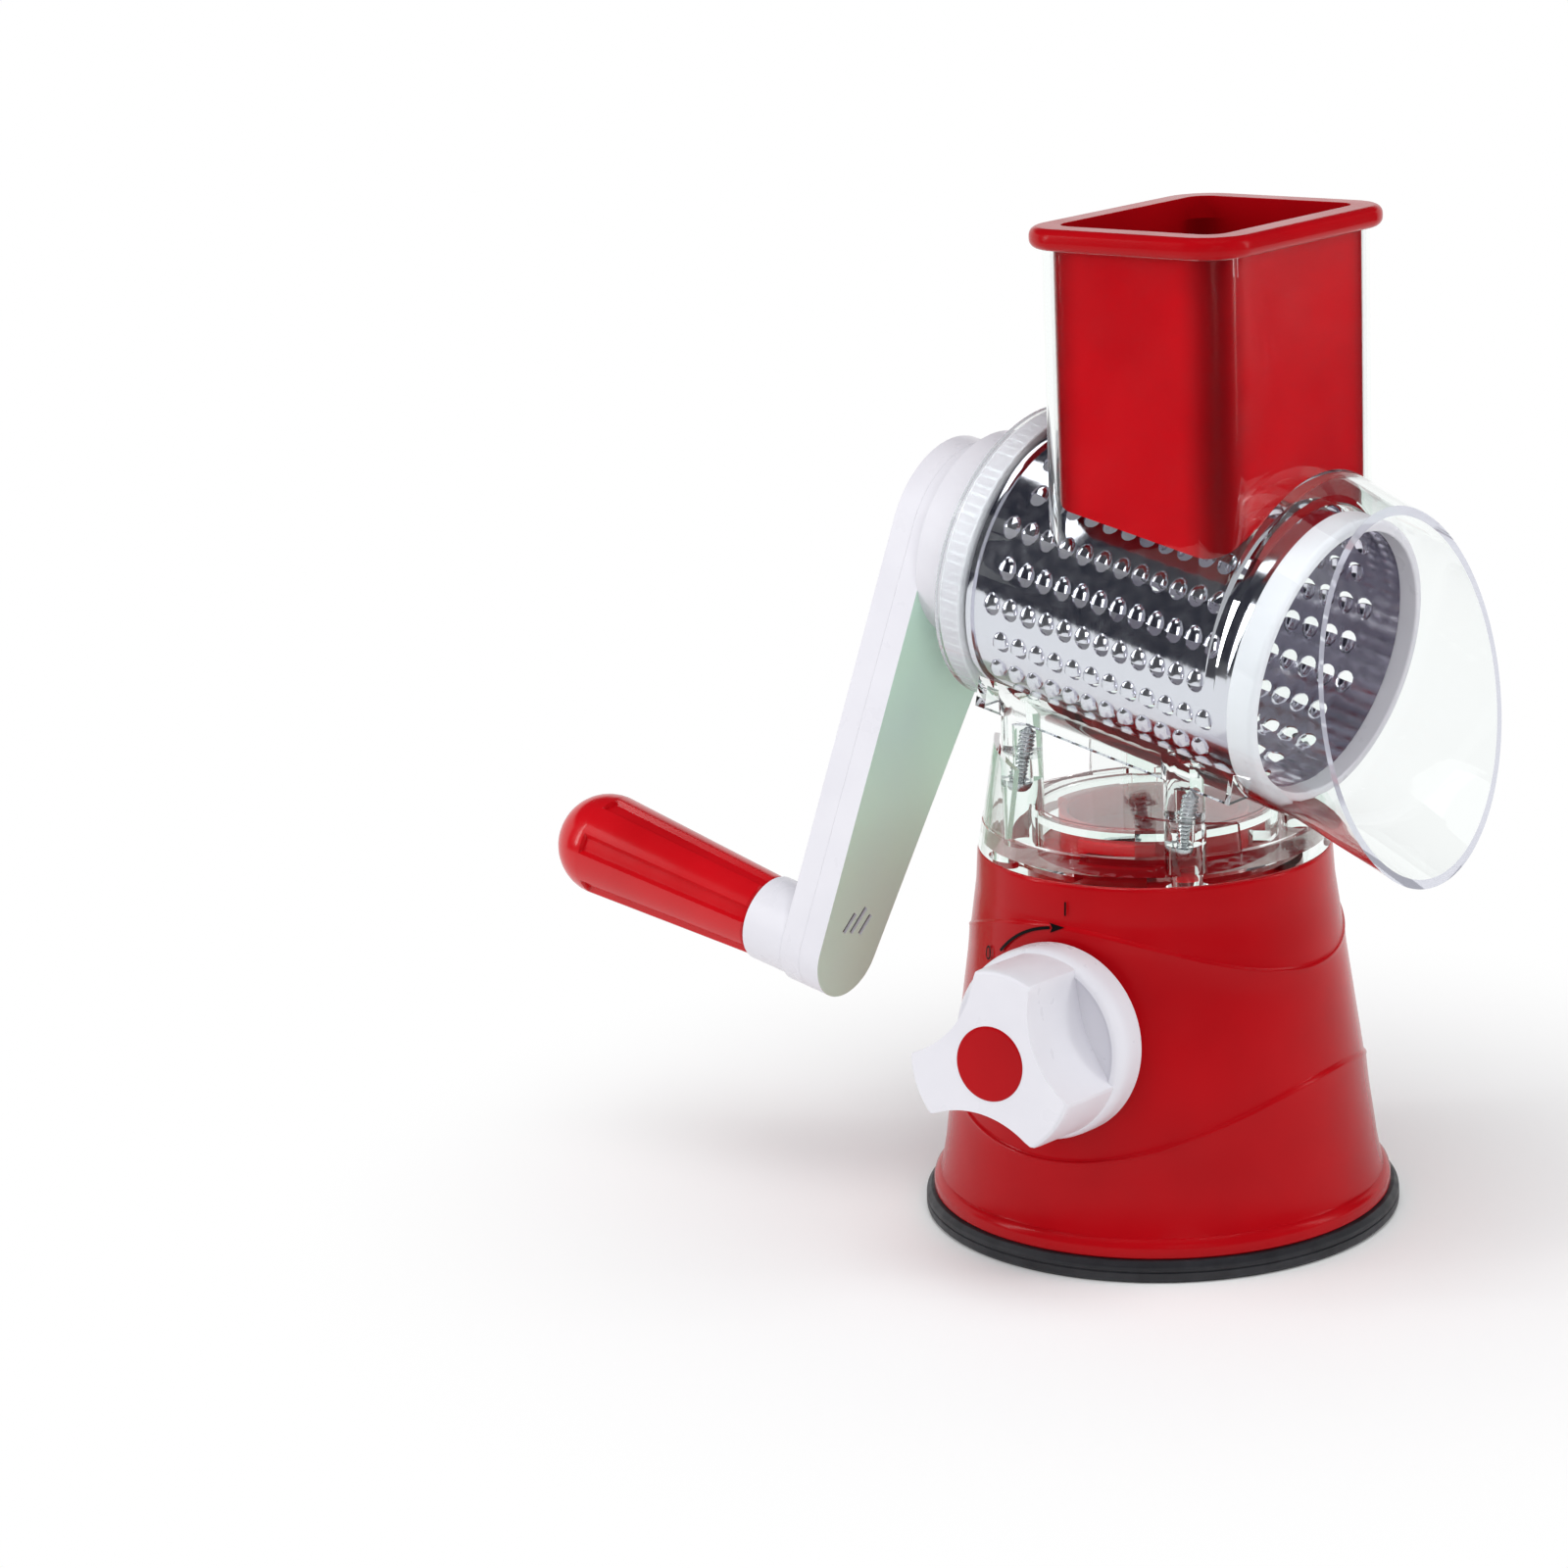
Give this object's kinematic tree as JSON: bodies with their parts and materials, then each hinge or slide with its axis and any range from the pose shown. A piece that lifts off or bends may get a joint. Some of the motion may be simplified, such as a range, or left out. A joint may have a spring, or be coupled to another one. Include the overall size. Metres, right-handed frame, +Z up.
{
  "type": "rotary cheese grater",
  "caption": "Hand-cranked drum grater with a clear hopper and pusher, a sloping removable steel drum and a suction base with a locking knob.",
  "frame": {"origin": "centre of the suction foot's underside, on the surface that the grater stands on", "axes": "+Z up; -Y towards the outlet mouth, +Y towards the crank; -X towards the suction knob"},
  "size_m": [0.1484, 0.2581, 0.2601],
  "materials": {
    "red_abs": "glossy moulded ABS",
    "white_abs": "satin moulded ABS",
    "clear_ps": "clear moulded polystyrene",
    "black_rubber": "matt",
    "black_abs": "matt moulded",
    "grey_nylon": "moulded nylon",
    "stainless": "polished stainless sheet",
    "zinc_steel": "zinc plated"
  },
  "bodies": {
    "base": {"base_shell": "red_abs", "base_plate": "black_abs", "base_plate_screws": "zinc_steel", "suction_pad": "black_rubber"},
    "plunger": {"plunger": "grey_nylon"},
    "knob": {"cam_shaft": "grey_nylon", "knob": "white_abs", "knob_screw": "zinc_steel", "knob_cap": "red_abs"},
    "grater_body": {"stand": "clear_ps", "stand_screws": "zinc_steel", "housing": "clear_ps", "rear_bearing": "white_abs"},
    "pusher": {"pusher": "red_abs"},
    "crank": {"crank_arm": "white_abs", "crank_cover": "white_abs", "crank_screws": "zinc_steel", "drive_socket": "white_abs", "grip_spindle": "zinc_steel", "grip_washer": "zinc_steel", "grip_screw": "zinc_steel"},
    "grip": {"grip": "red_abs", "grip_cap": "red_abs"},
    "drum": {"drum_shell": "stainless", "drum_ring": "white_abs", "drum_hub": "white_abs"}
  },
  "joints": [
    {"name": "knob_turn", "type": "hinge", "parent": "base", "child": "knob", "pos_m": [0, 0, 0.055], "axis": [0.9907, 0.1041, -0.0872], "range_deg": [0, 90]},
    {"name": "plunger_lift", "type": "slide", "parent": "base", "child": "plunger", "axis": [0, 0, 1], "range_m": [0, 0.0036]},
    {"name": "body_twist", "type": "hinge", "parent": "base", "child": "grater_body", "pos_m": [0, 0, 0.098], "axis": [0, 0, 1], "range_deg": [0, 40]},
    {"name": "pusher_lift", "type": "slide", "parent": "grater_body", "child": "pusher", "axis": [0, 0, 1], "range_m": [0, 0.06]},
    {"name": "crank_turn", "type": "hinge", "parent": "grater_body", "child": "crank", "pos_m": [0, 0, 0.1627], "axis": [0, 0.9803, 0.1977], "continuous": true},
    {"name": "grip_spin", "type": "hinge", "parent": "crank", "child": "grip", "pos_m": [-0.036, 0.0219, 0.05409], "axis": [0, 0.9803, 0.1977], "continuous": true},
    {"name": "drum_pull", "type": "slide", "parent": "crank", "child": "drum", "axis": [0, -0.9803, -0.1977], "range_m": [0, 0.12]}
  ],
  "couplings": [
    {"joint": "plunger_lift", "follows": "knob_turn", "m_per_rad": 0.00224}
  ]
}
